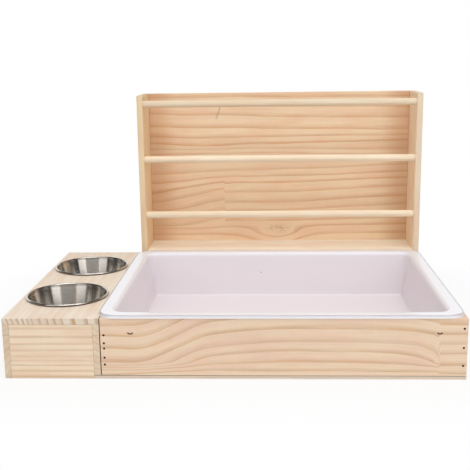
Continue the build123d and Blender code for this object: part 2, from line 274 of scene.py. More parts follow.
class Shader:
    """One material's node tree, with short ways to add what the finishes here need."""

    def __init__(self, name):
        self.material = bpy.data.materials.new(name)
        self.material.use_nodes = True
        self.tree = self.material.node_tree
        self.surface = self.tree.nodes["Principled BSDF"]

    def node(self, kind, values=None, **settings):
        """A node of this kind, with its inputs fed by name or number."""
        made = self.tree.nodes.new(kind)
        for setting, value in settings.items():
            setattr(made, setting, value)
        for key, value in (values or {}).items():
            plug(self.tree, made.inputs[key], value)
        return made

    def wire(self, kind, values=None, output=0, **settings):
        """One output of such a node, as a wire."""
        return Wire(self.tree, self.node(kind, values, **settings).outputs[output])

    def place(self, middle):
        """X, Y and Z in millimetres from this point of the object's frame."""
        point = self.wire("ShaderNodeTexCoord", output="Object")
        moved = self.wire("ShaderNodeMapping", {
            "Vector": point, "Location": tuple(-value / MM for value in middle), "Scale": (1 / MM,) * 3,
        })
        split = self.node("ShaderNodeSeparateXYZ", {0: moved})
        return [Wire(self.tree, output) for output in split.outputs]

    def normal(self):
        """X, Y and Z of the direction that the face points in."""
        facing = self.wire("ShaderNodeTexCoord", output="Normal")
        split = self.node("ShaderNodeSeparateXYZ", {0: facing})
        return [Wire(self.tree, output) for output in split.outputs]

    def noise(self, at, seed=0.0, detail=2.0, roughness=0.5):
        """Smooth noise about 0 to 1, with features about 1 unit of `at` wide."""
        vector = self.wire("ShaderNodeCombineXYZ", dict(enumerate(at)))
        return self.wire("ShaderNodeTexNoise", {
            "Vector": vector, "W": seed, "Scale": 1.0, "Detail": detail, "Roughness": roughness,
        }, noise_dimensions="4D")

    def chance(self, at):
        """A random number from 0 to 1 for each whole value."""
        return self.wire("ShaderNodeTexWhiteNoise", {"W": at}, noise_dimensions="1D")

    def blend(self, factor, first, second, mode="MIX"):
        """The first colour at factor 0 and the second at 1."""
        node = self.node("ShaderNodeMix", data_type="RGBA", blend_type=mode, clamp_result=True)
        for key, value in ((0, factor), (6, first), (7, second)):
            plug(self.tree, node.inputs[key], value)
        return Wire(self.tree, node.outputs[2])

    def grey(self, value):
        """A colour with this value in all three channels."""
        return self.wire("ShaderNodeCombineColor", {0: value, 1: value, 2: value})

    def bump(self, height, strength, distance):
        """Small relief from a height of 0 to 1, which stands for this distance in millimetres."""
        values = {"Height": height, "Strength": strength, "Distance": distance * MM}
        return self.wire("ShaderNodeBump", values)

    def finish(self, **inputs):
        """Feed the surface's inputs, named with underscores for spaces."""
        for name, value in inputs.items():
            plug(self.tree, self.surface.inputs[name.replace("_", " ")], value)
        return self.material


# ---- Sawn pine ----


@dataclass
class Station:
    """A place along a board, with the heights across it at which each ring's dark edge passes there, from
    the ring nearest the pith outwards. Between two stations each ring runs from its height at one to its
    height at the other."""

    at: float
    levels: tuple


@dataclass
class Sag:
    """Rings that dip under a knot by this depth. At this width either side of it about a third of the dip is
    left. The dip begins at the top and is whole at the bottom."""

    along: float
    width: float
    depth: float
    top: float
    bottom: float


@dataclass
class Knot:
    """A small knot: a dark crescent, open at the top, this wide from its middle to an end."""

    along: float
    across: float
    eye: float


@dataclass
class Streak:
    """A short, thin, dark streak of resin between two points."""

    start: tuple
    end: tuple
    width: float
    depth: float


@dataclass
class Mottle:
    """A patch of speckled, darker wood over a knot, this far along and across from its middle."""

    along: float
    across: float
    reach: tuple


@dataclass
class Cut:
    """How a board was cut from its log, in millimetres from the board's middle. Across is along the face
    axis, and the pith's place is across and through the board. Stations say where the rings run on the
    plane at this depth through the board. Without them the rings run straight and are one width apart.
    A joint is a face, such as +X, darkened with painted shade where it lies against its neighbour. The tint,
    the warm ends and the front-face tone fit the board's colour to the studio's light in the photo: they are
    painted light and shade, and say nothing about the wood itself."""

    grain: str
    face: str
    pith: tuple
    ring: float = 15.0
    stations: tuple = ()
    depth: float = 0.0
    seed: float = 0.0
    wander: float = 3.0
    strength: float = 0.75
    end_strength: float = 1.0
    sags: tuple = ()
    knots: tuple = ()
    mottles: tuple = ()
    streaks: tuple = ()
    stains: tuple = ()
    glue_lines: tuple = ()
    light_and_shade_tint: tuple = (1.0, 1.0, 1.0)
    joint: str = ""
    painted_end_shade: float = 0.0
    front_face_shade: float = 1.0


AXES = "XYZ"
UNEVEN_RINGS = 1.05
RINGS_BELOW_FIRST = 20
EASING = (-0.3, 0.0, 0.3)
JOINT_DARKNESS = 0.88
NAIL_STAIN = (1.2, 1.9)


def ring_curve(shader, distance, edges):
    """The ring that a distance from the pith falls in, from these distances of the rings' dark edges."""
    first, last, count = edges[0], edges[-1], len(edges) - 1
    node = shader.node("ShaderNodeFloatCurve", {"Value": (distance - first) / (last - first)})
    node.mapping.extend = "EXTRAPOLATED"
    points = node.mapping.curves[0].points
    for _ in edges[1:-1]:
        points.new(0.0, 0.0)
    for index, edge in enumerate(edges):
        points[index].location = ((edge - first) / (last - first), index / count)
        points[index].handle_type = "VECTOR"
    node.mapping.update()
    return Wire(shader.tree, node.outputs[0]) * count


def ring_number(shader, along, across, through, cut):
    """How many rings out from the pith a point lies. The whole part names the ring, and the fraction is the
    share of the way through it. A ring is a circle round the pith, and stations bend it along the board.
    The step from one station to the next is the mean of three, spread out by the easing."""
    pith_across, pith_through = cut.pith
    beyond, deeper = across - pith_across, through - pith_through
    squares = beyond * beyond + deeper * deeper
    if not cut.stations:
        radius = squares.root()
        uneven = shader.noise((radius / (2.6 * cut.ring), 0.0, 0.0), cut.seed + 3, detail=1.0) - 0.5
        return radius / cut.ring + uneven * UNEVEN_RINGS
    distance = (squares - (cut.depth - pith_through) ** 2).most(1.0).root()
    number, before, start = None, None, None
    for station in cut.stations:
        here = ring_curve(shader, distance, [abs(level - pith_across) for level in station.levels])
        if number is None:
            number = here
        else:
            passed = (along - start) / (station.at - start)
            steps = [(passed + shift).least(1.0).most(0.0) for shift in EASING]
            number = number + (here - before) * reduce(Wire.__add__, steps) / len(EASING)
        before, start = here, station.at
    return number + RINGS_BELOW_FIRST


def dark_marks(along, across, cut):
    """How dark a point is from knots' crescents, each the lower half of a flattened ring, from iron stains
    round nails and from streaks. None for a board that has none of these."""
    marks = []
    for knot in cut.knots:
        beside, above = along - knot.along, across - knot.across
        distance = (beside * beside * 0.5 + above * above).root()
        ring = 1 - abs(distance - knot.eye).rise(0.5, 1.2)
        marks.append(ring * (1 - above.rise(-0.5 * knot.eye, 0.3 * knot.eye)))
    for stain_along, stain_across in cut.stains:
        beside, above = along - stain_along, across - stain_across
        marks.append(1 - (beside * beside + above * above).root().rise(*NAIL_STAIN))
    for streak in cut.streaks:
        (x0, y0), (x1, y1) = streak.start, streak.end
        passed = ((across - y0) / (y1 - y0)).least(1.0).most(0.0)
        beside = abs(along - (passed * (x1 - x0) + x0))
        beyond = abs(across - (passed * (y1 - y0) + y0))
        marks.append((1 - (beside + beyond).rise(0.3 * streak.width, streak.width)) * streak.depth)
    return reduce(Wire.most, marks) if marks else None


def wavering(shader, along, across, through, cut):
    """The place across a board with the waver of its rings, and with their sags under knots."""
    wander = shader.noise((along / 120, across / 50, through / 90), cut.seed, detail=1.0) - 0.5
    ripple = shader.noise((along / 26, across / 8, through / 12), cut.seed + 7, detail=2.0) - 0.5
    wavy = across + wander * (2.4 * cut.wander) + ripple * (0.6 * cut.wander)
    for sag in cut.sags:
        beside = (along - sag.along) / sag.width
        wavy = wavy + (beside * beside * -1).exp() * (1 - across.rise(sag.bottom, sag.top)) * sag.depth
    return wavy


def from_nearest_edge(places, half):
    """How far a point on a board's face lies from that face's nearest edge: the middle one of its distances
    to the board's three pairs of faces."""
    first, second, third = (half[index] - abs(places[axis]) for index, axis in enumerate(AXES))
    return first.least(second).most(first.most(second).least(third))


def marked_pine(shader, along, across, through, half_length, cut, pine):
    """This pine with its mottles, painted shade that turns it warmer and darker towards its ends, and its
    dark marks.
    """
    for mottle in cut.mottles:
        beside, above = (along - mottle.along) / mottle.reach[0], (across - mottle.across) / mottle.reach[1]
        near = (beside * beside * -1 + above * above * -1).exp()
        spots = shader.noise((along / 5, across / 2.2, through / 3), cut.seed + 31, detail=3.0, roughness=0.6)
        pine = shader.blend(near * spots.rise(0.42, 0.6) * 0.55, pine, tuple(linear(176, 136, 104)))
    # Painted shade: towards the board's ends, beside the parts that meet it, the pine turns warmer and
    # darker.
    if cut.painted_end_shade:
        end = abs(along).rise(half_length - 55, half_length - 8)
        pine = shader.blend(end * cut.painted_end_shade, pine, tuple(linear(190, 132, 84)))
    dark = dark_marks(along, across, cut)
    if dark is not None:
        pine = shader.blend(dark, pine, tuple(linear(62, 38, 24)))
    return pine


def board_material(name, node, cut, wood, roughness=0.56):
    """Sawn pine for one board: growth rings from its cut, long streaks and fine fibres that follow them,
    resin canals, faint planer marks, a darker and rougher end grain, and edges that handling has smoothed.
    Painted shade darkens faces that meet a neighbour, faces that look to the front and back, and the bottom
    few millimetres over the floor, and a tint paints light on some boards and shade on others."""
    low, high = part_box(node)
    half = [(top - bottom) / 2 / MM for top, bottom in zip(high, low)]
    shader = Shader(name)
    places = dict(zip(AXES, shader.place((low + high) / 2)))
    facing = dict(zip(AXES, shader.normal()))
    depth_axis = next(axis for axis in AXES if axis not in (cut.grain, cut.face))
    along, across, through = places[cut.grain], places[cut.face], places[depth_axis]

    jag = shader.noise((across / 4, through / 4, 0.0), cut.seed + 8, detail=1.0) - 0.5
    wavy = wavering(shader, along, across, through, cut)
    number = ring_number(shader, along + jag * 5, wavy, through, cut)
    spans = [
        abs(station.levels[-1] - station.levels[0]) / (len(station.levels) - 1) for station in cut.stations
    ]
    straight = number * (sum(spans) / len(spans) if spans else cut.ring)
    part = number.fraction()
    own = shader.chance(number.floor() + cut.seed)
    late = (part.rise(0.4, 0.96) ** 1.3) * (1 - part.rise(0.955, 1.0))

    patches = shader.noise((along / 80, straight / 16, through / 22), cut.seed + 11, detail=3.0)
    blushes = shader.noise((along / 30, straight / 7, through / 12), cut.seed + 12, detail=2.0)
    streaks = shader.noise(
        (along / 120, straight / 1.7, through / 1.7), cut.seed + 13, detail=4.0, roughness=0.6
    )
    fibres = shader.noise((along / 20, straight / 0.5, through / 0.5), cut.seed + 17, detail=2.0)
    canals = shader.noise((along / 5, straight / 0.5, through / 0.5), cut.seed + 19, detail=0.0)
    canal_marks = canals.rise(0.74, 0.82) * late.rise(0.1, 0.5)
    marks = shader.noise((along / 2.2, across / 60, through / 60), cut.seed + 21, detail=0.0)

    end_grain = abs(facing[cut.grain]).rise(0.45, 0.9)
    faded = shader.noise((along / 60, straight / 5, through / 20), cut.seed + 9, detail=2.0).rise(0.3, 0.62)
    contrast = own.spread(0.5, 1.0) * faded.spread(0.55, 1.0)
    contrast = contrast * (end_grain * (cut.end_strength - cut.strength) + cut.strength)
    early = shader.blend(patches.rise(0.36, 0.66), tuple(wood.pale), tuple(wood.warm))
    resin = shader.noise((along / 60, straight / 20, through / 30), cut.seed + 29, detail=1.0)
    dark_wood = shader.blend(resin.rise(0.45, 0.65), tuple(wood.late), tuple(wood.resin))
    banded = shader.blend(late * contrast, early, dark_wood)
    tone = own.spread(0.985, 1.01) * streaks.rise(0.25, 0.75).spread(0.94, 1.035) * fibres.spread(0.96, 1.035)
    tone = tone * marks.spread(0.985, 1.015) * (1 - canal_marks * 0.16)
    pits = shader.noise((across / 0.8, through / 0.8, along / 6), cut.seed + 23, detail=2.0)
    tone = tone * (1 - end_grain * pits.spread(0.06, 0.16))

    edge = (1 - from_nearest_edge(places, half).rise(0.25, 1.3)) * streaks.rise(0.3, 0.6)
    tone = tone * (1 - edge * 0.06)
    for line in cut.glue_lines:
        glue = 1 - abs(across - line).rise(0.15, 0.6)
        stave = shader.chance(across.rise(line - 0.2, line + 0.2) + cut.seed)
        tone = tone * (1 - glue * 0.28) * stave.spread(0.95, 1.03)
    # Painted shade: faces that look to the front and back take the front-face tone, darker on some boards.
    front = abs(facing["Y"]).rise(0.6, 0.92)
    tone = tone * (front * (cut.front_face_shade - 1) + 1)
    # Painted contact shade: the few millimetres nearest the floor are darker.
    foot = 1 - (places["Z"] + half[2] + low.z / MM).rise(1.5, 5.0)
    tone = tone * (1 - foot * 0.07)
    hidden = 0.0
    # Painted shade: a face that lies against its neighbour is darkened, so the narrow gap between them reads
    # dark.
    if cut.joint:
        hidden = (facing[cut.joint[1]] * (1 if cut.joint[0] == "+" else -1)).rise(0.6, 0.92)
        tone = tone * (1 - hidden * JOINT_DARKNESS)

    # The tint is painted light and shade over the whole board, fitted to the studio's light.
    red, green, blue = (tone * strength for strength in cut.light_and_shade_tint)
    reddish = blushes.spread(-0.012, 0.012)
    cast = shader.wire("ShaderNodeCombineColor", {0: red * (1 + reddish), 1: green, 2: blue * (1 - reddish)})
    pine = shader.blend(1.0, banded, cast, mode="MULTIPLY")
    half_length = half[AXES.index(cut.grain)]
    pine = marked_pine(shader, along, across, through, half_length, cut, pine)

    height = fibres * 0.5 + streaks * 0.35 - late * 0.45
    height = height - canal_marks * 0.6 + end_grain * pits * 0.8 + marks * 0.15
    rough = roughness + end_grain * 0.18 - late * 0.06 + (streaks - 0.5) * 0.12 - edge * 0.08 + hidden * 0.4
    return shader.finish(
        Base_Color=pine,
        Roughness=rough,
        Normal=shader.bump(height, 0.35, 0.12),
        IOR=1.45,
        Specular_IOR_Level=0.35,
    )


def turned_rail_material(name, node, cut, wood):
    """Pale dowel: straight rings and a polish from handling."""
    return board_material(name, node, cut, wood, roughness=0.44)


def plywood_material(name, node, panel):
    """Thin plywood: a streaky face, three plies with glue lines at the edges, fine lathe checks, and painted
    shade along the top edge, where the panel meets the frame.
    """
    low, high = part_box(node)
    shader = Shader(name)
    x, y, z = shader.place((low + high) / 2)
    thickness = (high.z - low.z) / MM
    core = 1 - abs(z).rise(thickness * 0.13, thickness * 0.2)
    glue = 1 - abs(abs(z) - thickness * 0.18).rise(0.05, 0.3)
    streaks = shader.noise((x / 90, y / 3, z / 3), 31, detail=4.0, roughness=0.65)
    fibres = shader.noise((x / 14, y / 0.6, z / 0.6), 33, detail=2.0)
    cross = shader.noise((x / 1.2, y / 12, z / 1.2), 35, detail=2.0)
    bands = shader.blend(core, tuple(panel.face), tuple(panel.core))
    tone = streaks.rise(0.3, 0.7).spread(0.9, 1.05) * fibres.spread(0.95, 1.04) * (1 - core * cross * 0.18)
    # Painted shade of the gap: the top edge, where the panel meets the frame, is darkened.
    top_edge_shade = z.rise(thickness * 0.5 - 1.3, thickness * 0.5 - 0.5)
    tone = tone * (1 - glue * 0.08) * (1 - top_edge_shade * streaks.rise(0.35, 0.6).spread(0.3, 0.6))
    return shader.finish(
        Base_Color=shader.blend(1.0, bands, shader.grey(tone), mode="MULTIPLY"),
        Roughness=0.62 + (streaks - 0.5) * 0.15,
        Normal=shader.bump(fibres * 0.5 + streaks * 0.4 - core * 0.4, 0.35, 0.12),
    )


# ---- Metal and plastic ----


def brushed_steel_material(name, bowl, bowls):
    """Spun stainless steel. Brushing runs round the bowl, so light is drawn out into bands down the wall. The
    underside of the rolled rim is darkened with painted shade, where the roll hides the room."""
    shader = Shader(name)
    low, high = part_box(bowl)
    x, y, z = shader.place((low + high) / 2)
    radius = (x * x + y * y).root()
    profile = radius + z * 1.3
    rings = shader.noise((profile / 0.25, x / 40, y / 40), 41, detail=3.0, roughness=0.6)
    broad = shader.noise((profile / 1.6, x / 30, y / 30), 43, detail=3.0, roughness=0.7)
    smudges = shader.noise((x / 14, y / 14, z / 14), 45, detail=3.0)
    tone = rings.spread(0.93, 1.05) * broad.rise(0.25, 0.75).spread(0.88, 1.06)
    rim_top = (high.z - low.z) / 2 / MM
    # Painted shade under the rolled rim, where the roll hides the room.
    shade_under_roll = (1 - shader.normal()[2].rise(-0.35, 0.3)) * z.rise(rim_top - 4.4, rim_top - 3.9)
    tone = tone * (1 - shade_under_roll * 0.9)
    tangent = shader.wire("ShaderNodeTangent", direction_type="UV_MAP", uv_map=ROUND_MAP)
    return shader.finish(
        Base_Color=shader.blend(1.0, tuple(bowls.steel), shader.grey(tone), mode="MULTIPLY"),
        Metallic=1.0,
        Roughness=bowls.roughness + (rings - 0.5) * 0.05 + smudges.rise(0.5, 0.8) * 0.03,
        Anisotropic=0.92,
        Anisotropic_Rotation=0.25,
        Tangent=tangent,
        Normal=shader.bump(rings * 0.6 + broad * 0.4, 0.05, 0.02),
    )


def moulded_material(name, node, tray, gate):
    """White moulded plastic: a fine sheen, the faintest flow marks, painted shade and warm bounce light that
    make the inside of the tub a darker, pinker white than the rim, and the grey spot where the mould was
    filled."""
    shader = Shader(name)
    x, y, z = shader.place(gate)
    flow = shader.noise((x / 60, y / 60, z / 25), 51, detail=2.0)
    grain = shader.noise((x / 0.8, y / 0.8, z / 0.8), 53, detail=2.0)
    dust = shader.noise((x / 9, y / 9, z / 9), 55, detail=4.0, roughness=0.7)
    distance = (x * x + y * y + z * z).root()
    spot = 1 - distance.rise(0.8, 2.4)
    tone = flow.spread(0.985, 1.01) * (1 - spot * 0.4) * (1 - dust.rise(0.62, 0.8) * 0.02)
    rim_top = (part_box(node)[1].z - gate.z) / MM
    # Painted shade and warm bounce light: the tub's inside, below the rim, takes the darker, pinker white.
    rim = z.rise(rim_top - 9, rim_top - 2)
    white = shader.blend(rim, tuple(tray.inside), tuple(tray.plastic))
    return shader.finish(
        Base_Color=shader.blend(1.0, white, shader.grey(tone), mode="MULTIPLY"),
        Roughness=0.2 + (grain - 0.5) * 0.08 + dust.rise(0.5, 0.8) * 0.06,
        Normal=shader.bump(grain * 0.25 + flow - spot * 1.5, 0.1, 0.1),
        IOR=1.46,
        Specular_IOR_Level=0.4,
    )


def fastener_material(name, base, roughness, metallic=0.9, level=0.5):
    """Drawn or plated metal with dull, darker blotches. A low metallic share stands for scale and rust."""
    shader = Shader(name)
    x, y, z = shader.place((0.0, 0.0, 0.0))
    blotches = shader.noise((x / 1.5, y / 1.5, z / 1.5), 61, detail=3.0)
    return shader.finish(
        Base_Color=shader.blend(blotches.rise(0.4, 0.7) * 0.5, tuple(base), (0.02, 0.016, 0.013)),
        Metallic=metallic,
        Roughness=roughness + (blotches - 0.5) * 0.2,
        Specular_IOR_Level=level,
        Normal=shader.bump(blotches, 0.2, 0.05),
    )


# ---- Surfaces ----


def line(start, end, steps):
    """Points from start to before end: start + t (end - start) for t from 0 to 1."""
    t = np.arange(steps)[:, None] / steps
    return np.array(start) + t * (np.array(end) - np.array(start))


def arc(middle, radius, first, last, steps):
    """Points on an arc, from the first angle to before the last, in degrees: middle + radius (cos, sin)."""
    angle = np.radians(first + (last - first) * np.arange(steps) / steps)
    return np.array(middle) + radius * np.stack((np.cos(angle), np.sin(angle)), axis=1)


def rounded(corner, before, after, radius, steps):
    """An arc of this radius that eases the corner between the points before and after it. It touches both
    straights at the distance radius / tan(half the angle between them) from the corner."""
    corner, before, after = map(np.array, (corner, before, after))
    to_before = (before - corner) / np.linalg.norm(before - corner)
    to_after = (after - corner) / np.linalg.norm(after - corner)
    half = math.acos(float(np.clip(to_before @ to_after, -1, 1))) / 2
    bisector = (to_before + to_after) / np.linalg.norm(to_before + to_after)
    middle = corner + bisector * radius / math.sin(half)
    start = corner + to_before * radius / math.tan(half) - middle
    turn = 2 * (math.pi / 2 - half)
    sign = np.sign(start[0] * (to_after - start)[1] - start[1] * (to_after - start)[0])
    sign = sign if sign else 1.0
    angle = math.atan2(start[1], start[0]) + sign * turn * np.arange(steps + 1) / steps
    return middle + radius * np.stack((np.cos(angle), np.sin(angle)), axis=1)


def grid_piece(name, points, body, material, replaced):
    """A closed piece from a grid of points. Rows run along the profile and columns round it, and the last
    column joins the first. The first and the last row are each drawn together into a pole. The UV map holds
    the share of the way round and along."""
    rows, columns = points.shape[:2]
    inner = points[1:-1].reshape(-1, 3)
    poles = np.stack((points[0].mean(axis=0), points[-1].mean(axis=0)))
    vertices = np.concatenate((inner, poles))
    row, column = np.meshgrid(np.arange(rows - 3), np.arange(columns), indexing="ij")
    beside = (column + 1) % columns
    here, above = row * columns, (row + 1) * columns
    quads = np.stack((here + column, here + beside, above + beside, above + column), axis=-1).reshape(-1, 4)
    around = np.arange(columns)
    following = (around + 1) % columns
    first_pole, last_pole = len(inner), len(inner) + 1
    last_row = (rows - 3) * columns
    first_fan = np.stack((np.full(columns, first_pole), following, around), axis=1)
    last_fan = np.stack((np.full(columns, last_pole), last_row + around, last_row + following), axis=1)
    mesh = bpy.data.meshes.new(name)
    mesh.from_pydata(vertices.tolist(), [], quads.tolist() + first_fan.tolist() + last_fan.tolist())
    u = np.stack((column, column + 1, column + 1, column), axis=-1).reshape(-1, 4) / columns
    v = np.stack((row + 1, row + 1, row + 2, row + 2), axis=-1).reshape(-1, 4) / (rows - 1)
    fan_u = np.stack((around + 0.5, around + 1, around), axis=1) / columns
    fan_v = np.tile((0.0, 1 / (rows - 1), 1 / (rows - 1)), (columns, 1))
    last_u = np.stack((around + 0.5, around, around + 1), axis=1) / columns
    uv = np.concatenate([
        np.stack((a.reshape(-1), b.reshape(-1)), axis=1)
        for a, b in ((u, v), (fan_u, fan_v), (last_u, 1 - fan_v))
    ])
    mesh.uv_layers.new(name=ROUND_MAP).data.foreach_set("uv", uv.astype(np.float32).ravel())
    mesh.shade_smooth()
    mesh.update()
    mesh.validate()
    piece = bpy.data.objects.new(name, mesh)
    bpy.context.scene.collection.objects.link(piece)
    piece.data.materials.append(material)
    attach(piece, body)
    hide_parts(*replaced)


def bowl_points(node, bowls, columns=160):
    """A bowl, in metres: its profile (r, z) turned round the vertical axis through the node's middle, so a
    point is (x + r cos a, y + r sin a, z). The profile runs from the middle of the inner floor up the inner
    wall, over the rolled rim and down the outer wall to the middle of the underside."""
    low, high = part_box(node)
    sheet, roll, base = bowls.sheet, bowls.roll / 2, bowls.base / 2
    rim_circle = (high.x - low.x) / 2 - roll
    roll_z = high.z - roll
    mouth = rim_circle - roll + 0.6 * MM
    lean = math.atan2(mouth - base, roll_z - low.z)
    across = sheet / math.cos(lean)
    floor_z = low.z + sheet
    inner_base = base - across + sheet * math.tan(lean)
    outer_corner, outer_mouth = (base, low.z), (mouth, roll_z)
    inner_corner, inner_mouth = (inner_base, floor_z), (mouth - across, roll_z)
    neck = roll_z - 1.5 * roll
    slope = math.tan(lean)
    neck_r = base + (neck - low.z) * slope
    profile = np.concatenate((
        line((0, floor_z), (inner_base - bowls.bottom_round, floor_z), 12),
        rounded(inner_corner, (0, floor_z), inner_mouth, bowls.bottom_round - sheet, 14),
        line((neck_r - across - (neck - floor_z) * 0.55 * slope, floor_z + (neck - floor_z) * 0.45),
             (neck_r - across, neck), 12),
        arc((rim_circle, roll_z), roll, 190, -80, 28),
        line((rim_circle - 0.1 * roll, roll_z - roll), (neck_r, neck), 3),
        line((neck_r, neck), (base + (neck - low.z) * 0.45 * slope, low.z + (neck - low.z) * 0.45), 8),
        rounded(outer_corner, outer_mouth, (0, low.z), bowls.bottom_round, 14),
        line((base - bowls.bottom_round * 1.2, low.z), (0, low.z), 8),
        np.array([(0, low.z)]),
    ))
    angle = 2 * np.pi * np.arange(columns) / columns
    middle = (low + high) / 2
    r, z = profile[:, :1], np.broadcast_to(profile[:, 1:], (len(profile), columns))
    return np.stack((middle.x + r * np.cos(angle), middle.y + r * np.sin(angle), z), axis=-1)


def outline(half_x, half_y, radius, corner_steps=10, side_steps=12):
    """Points round rounded rectangles, one row for each half width, half depth and corner radius. Each
    corner is a quarter circle of points and each side is a straight run between two corners."""
    angle = np.concatenate([
        np.radians(quarter * 90 + 90 * np.arange(corner_steps + 1) / corner_steps) for quarter in range(4)
    ])
    corner = np.repeat(np.arange(4), corner_steps + 1)
    sign_x = np.array((1, -1, -1, 1))[corner]
    sign_y = np.array((1, 1, -1, -1))[corner]
    radius = radius[:, None]
    x = sign_x * (half_x[:, None] - radius) + radius * np.cos(angle)
    y = sign_y * (half_y[:, None] - radius) + radius * np.sin(angle)
    ends = np.arange(1, 5) * (corner_steps + 1) - 1
    starts = (ends + 1) % (4 * (corner_steps + 1))
    t = np.arange(1, side_steps) / side_steps
    pieces_x, pieces_y = [], []
    for end, start in zip(ends, starts):
        quarter = slice(end - corner_steps, end + 1)
        pieces_x += [x[:, quarter], x[:, end:end + 1] * (1 - t) + x[:, start:start + 1] * t]
        pieces_y += [y[:, quarter], y[:, end:end + 1] * (1 - t) + y[:, start:start + 1] * t]
    return np.concatenate(pieces_x, axis=1), np.concatenate(pieces_y, axis=1)


def tray_points(node, tray):
    """The tray, in metres: its profile (inset from the rim's edge, z) carried round rounded rectangles whose
    half sizes are the rim's less the inset. The profile runs from the middle of the inner floor up the wall,
    over the rim and back under it, down the outside of the tub and in to the middle of the underside."""
    low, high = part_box(node)
    half_x, half_y = (high.x - low.x) / 2, (high.y - low.y) / 2
    top, under_rim, bottom = high.z, high.z - tray.rim_thickness, low.z
    floor_z = bottom + tray.wall
    mouth, foot = tray.rim_width, tray.rim_width + tray.draft
    outer_mouth, outer_foot = mouth - tray.wall, foot - tray.wall
    centre = half_y
    edge = 0.25 * MM
    tuck = outer_mouth + tray.draft * tray.rim_thickness / (top - floor_z)
    profile = np.concatenate((
        line((centre, floor_z), (foot + 2 * tray.floor_round, floor_z), 24),
        rounded((foot, floor_z), (centre, floor_z), (mouth, top), tray.floor_round, 8),
        line((foot - 0.15 * tray.draft, floor_z + 0.15 * (top - floor_z)),
             (mouth + 0.1 * tray.draft, top - 0.1 * (top - floor_z)), 14),
        rounded((mouth, top), (foot, floor_z), (0, top), tray.mouth_round, 8),
        line((mouth - 1.6 * tray.mouth_round, top), (1.6 * tray.rim_round, top), 6),
        rounded((0, top), (mouth, top), (0, under_rim), tray.rim_round, 6),
        rounded((0, under_rim), (0, top), (mouth, under_rim), edge, 3),
        line((4 * edge, under_rim), (tuck - 4 * edge, under_rim), 6),
        rounded((tuck, under_rim), (0, under_rim), (outer_foot, bottom), edge, 3),
        line((tuck + 0.06 * tray.draft, under_rim - 0.06 * (top - floor_z)),
             (outer_foot - 0.2 * tray.draft, bottom + 0.2 * (top - floor_z)), 10),
        rounded((outer_foot, bottom), (outer_mouth, top), (centre, bottom), tray.floor_round + tray.wall, 8),
        line((outer_foot + 2 * tray.floor_round, bottom), (centre, bottom), 16),
        np.array([(centre, bottom)]),
    ))
    inset, z = profile.T
    shrink = np.clip((centre - inset) / (centre - foot - tray.floor_round), 0, 1)
    over_floor = shrink < 1
    size_x = np.where(over_floor, shrink * (half_x - foot - tray.floor_round), half_x - inset)
    size_y = np.where(over_floor, shrink * (half_y - foot - tray.floor_round), half_y - inset)
    corner = np.interp(inset, (0, mouth, foot), (tray.rim_corner, tray.mouth_corner, tray.floor_corner))
    corner = np.where(z < bottom + 0.5 * tray.wall, corner + tray.wall, corner) * shrink
    x, y = outline(size_x, size_y, np.maximum(corner, 0))
    middle = (low + high) / 2
    return np.stack((middle.x + x, middle.y + y, np.broadcast_to(z[:, None], x.shape)), axis=-1)


# ---- Boards: how each was cut ----

BOWL_BOX_CUTS = {
    # The top's tint is painted light: it makes the board lighter and whiter, as a face lit from above.
    "bowl_box_top": Cut(
        "Y", "X", pith=(-126.0, -28.0), seed=2.0, wander=0.6, strength=0.3, end_strength=1.9,
        stations=(Station(0, (-64, -57, -50, -42, -35, -29, -23, -12, -2, 8, 18, 35, 52, 66)),),
        light_and_shade_tint=(1.0, 1.06, 1.16), joint="+X",
    ),
    "bowl_box_front": Cut(
        "X", "Z", pith=(170.0, 50.0), depth=-4.5, seed=4.0, wander=1.0, strength=0.85,
        stations=(Station(0, (42, 31.8, 19.9, 10, 0.9, -7.4, -13.7, -20.2, -28.4, -36.7, -44)),),
    ),
    "bowl_box_back": Cut("X", "Z", pith=(-200.0, -80.0), ring=9.0, seed=5.0, wander=1.8, glue_lines=(22.0,)),
    # The front-face tone is painted shade on the board's front end.
    "bowl_box_left_side": Cut(
        "Y", "Z", pith=(-60.0, 46.0), ring=8.0, seed=6.0, wander=1.0, glue_lines=(23.5,), end_strength=0.45,
        front_face_shade=0.93,
    ),
    "bowl_box_right_side": Cut(
        "Y", "Z", pith=(70.0, 36.0), ring=8.0, seed=7.0, wander=1.0, glue_lines=(21.0,), end_strength=0.45,
        joint="+X",
    ),
}
FRAME_NAIL_ALONG = 240.0
FRAME_MIDDLE_HEIGHT = 45.25
